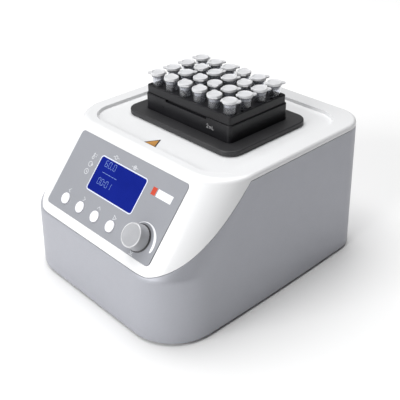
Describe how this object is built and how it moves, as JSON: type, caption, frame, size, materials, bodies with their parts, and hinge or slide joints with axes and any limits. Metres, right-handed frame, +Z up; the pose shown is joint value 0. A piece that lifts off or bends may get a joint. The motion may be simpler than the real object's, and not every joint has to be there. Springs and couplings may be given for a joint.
{
  "type": "dry block heater",
  "caption": "Desktop dry block heater with orbital shaking: sloped control face with display, push buttons and knob, and a lift-out block of capped tubes on a black tray.",
  "frame": {"origin": "on the floor under the middle of the object's bounding box", "axes": "+Z up, the sloped control face looks towards -Y, +X to the right when facing the controls"},
  "size_m": [0.2094, 0.2488, 0.1653],
  "materials": {
    "housing_grey": "silver-grey satin",
    "cover_white": "glossy white",
    "panel_grey": "matte printed sheet",
    "window_blue": "clear window over a blue display",
    "button_white": "satin white",
    "knob_grey": "satin silver-grey",
    "block_black": "black anodised",
    "tray_black": "satin black",
    "tube_plastic": "translucent polypropylene",
    "aluminium": "machined",
    "steel": "machined and zinc plated",
    "pulley_black": "moulded",
    "pulley_aluminium": "machined",
    "counterweight_iron": "machined",
    "motor_steel": "plated can",
    "belt_rubber": "matte",
    "circuit_board": "solder mask",
    "insulation_foam": "soft foam",
    "foot_rubber": "matte",
    "inlet_black": "moulded",
    "rocker_black": "moulded",
    "supply_metal": "folded sheet case"
  },
  "bodies": {
    "housing": {"lower_housing": "housing_grey", "top_cover": "cover_white", "base_plate": "steel", "foot_1": "foot_rubber", "foot_2": "foot_rubber", "foot_3": "foot_rubber", "foot_4": "foot_rubber", "panel_overlay": "panel_grey", "display_window": "window_blue", "display_module": "circuit_board", "control_board": "circuit_board", "drive_plate": "steel", "motor": "motor_steel", "drive_belt": "belt_rubber", "power_inlet": "inlet_black", "power_supply": "supply_metal"},
    "knob_body": {"knob": "knob_grey", "encoder_shaft": "steel"},
    "rocker_body": {"power_switch": "rocker_black"},
    "shaft_body": {"eccentric_shaft": "steel", "drive_pulley": "pulley_black", "counterweight": "counterweight_iron"},
    "platform_body": {"platform": "aluminium", "insulation": "insulation_foam", "heater_plate": "aluminium", "temperature_sensor": "steel", "tray": "tray_black"},
    "motor_rotor": {"motor_pulley": "pulley_aluminium"},
    "idler_body_1": {"idler_crank_1": "steel"},
    "idler_body_2": {"idler_crank_2": "steel"},
    "block_body": {"tube_block": "block_black", "block_top": "block_black", "tube_01": "tube_plastic", "tube_02": "tube_plastic", "tube_03": "tube_plastic", "tube_04": "tube_plastic", "tube_05": "tube_plastic", "tube_06": "tube_plastic", "tube_07": "tube_plastic", "tube_08": "tube_plastic", "tube_09": "tube_plastic", "tube_10": "tube_plastic", "tube_11": "tube_plastic", "tube_12": "tube_plastic", "tube_13": "tube_plastic", "tube_14": "tube_plastic", "tube_15": "tube_plastic", "tube_16": "tube_plastic", "tube_17": "tube_plastic", "tube_18": "tube_plastic", "tube_19": "tube_plastic", "tube_20": "tube_plastic", "tube_21": "tube_plastic", "tube_22": "tube_plastic", "tube_23": "tube_plastic", "tube_24": "tube_plastic"},
    "button_body_1": {"button_1": "button_white"},
    "button_body_2": {"button_2": "button_white"},
    "button_body_3": {"button_3": "button_white"},
    "button_body_4": {"button_4": "button_white"}
  },
  "joints": [
    {"name": "knob_turn", "type": "hinge", "parent": "housing", "child": "knob_body", "pos_m": [0.0489, -0.10436, 0.08104], "axis": [0, -0.7593, 0.6508], "continuous": true},
    {"name": "rocker_tip", "type": "hinge", "parent": "housing", "child": "rocker_body", "pos_m": [-0.0615, 0.1201, 0.035], "axis": [1, 0, 0], "range_deg": [0, 16]},
    {"name": "shaft_turn", "type": "hinge", "parent": "housing", "child": "shaft_body", "pos_m": [-0.0015, 0.0268, 0.09], "axis": [0, 0, 1], "continuous": true},
    {"name": "platform_orbit", "type": "hinge", "parent": "shaft_body", "child": "platform_body", "pos_m": [0, 0.0268, 0.104], "axis": [0, 0, 1], "continuous": true},
    {"name": "motor_turn", "type": "hinge", "parent": "housing", "child": "motor_rotor", "pos_m": [-0.0615, 0.0268, 0.09], "axis": [0, 0, 1], "continuous": true},
    {"name": "idler_1_turn", "type": "hinge", "parent": "housing", "child": "idler_body_1", "pos_m": [0.045, -0.0032, 0.09], "axis": [0, 0, 1], "continuous": true},
    {"name": "idler_2_turn", "type": "hinge", "parent": "housing", "child": "idler_body_2", "pos_m": [0.045, 0.0568, 0.09], "axis": [0, 0, 1], "continuous": true},
    {"name": "block_lift", "type": "slide", "parent": "platform_body", "child": "block_body", "axis": [0, 0, 1], "range_m": [0, 0.06]},
    {"name": "button_1_press", "type": "slide", "parent": "housing", "child": "button_body_1", "axis": [0, 0.7593, -0.6508], "range_m": [0, 0.0008], "stiffness_N_per_m": 600, "springref_m": -0.0005},
    {"name": "button_2_press", "type": "slide", "parent": "housing", "child": "button_body_2", "axis": [0, 0.7593, -0.6508], "range_m": [0, 0.0008], "stiffness_N_per_m": 600, "springref_m": -0.0005},
    {"name": "button_3_press", "type": "slide", "parent": "housing", "child": "button_body_3", "axis": [0, 0.7593, -0.6508], "range_m": [0, 0.0008], "stiffness_N_per_m": 600, "springref_m": -0.0005},
    {"name": "button_4_press", "type": "slide", "parent": "housing", "child": "button_body_4", "axis": [0, 0.7593, -0.6508], "range_m": [0, 0.0008], "stiffness_N_per_m": 600, "springref_m": -0.0005}
  ],
  "couplings": [
    {"joint": "platform_orbit", "follows": "shaft_turn", "ratio": -1},
    {"joint": "idler_1_turn", "follows": "shaft_turn", "ratio": 1},
    {"joint": "idler_2_turn", "follows": "shaft_turn", "ratio": 1},
    {"joint": "motor_turn", "follows": "shaft_turn", "ratio": 2.5}
  ]
}
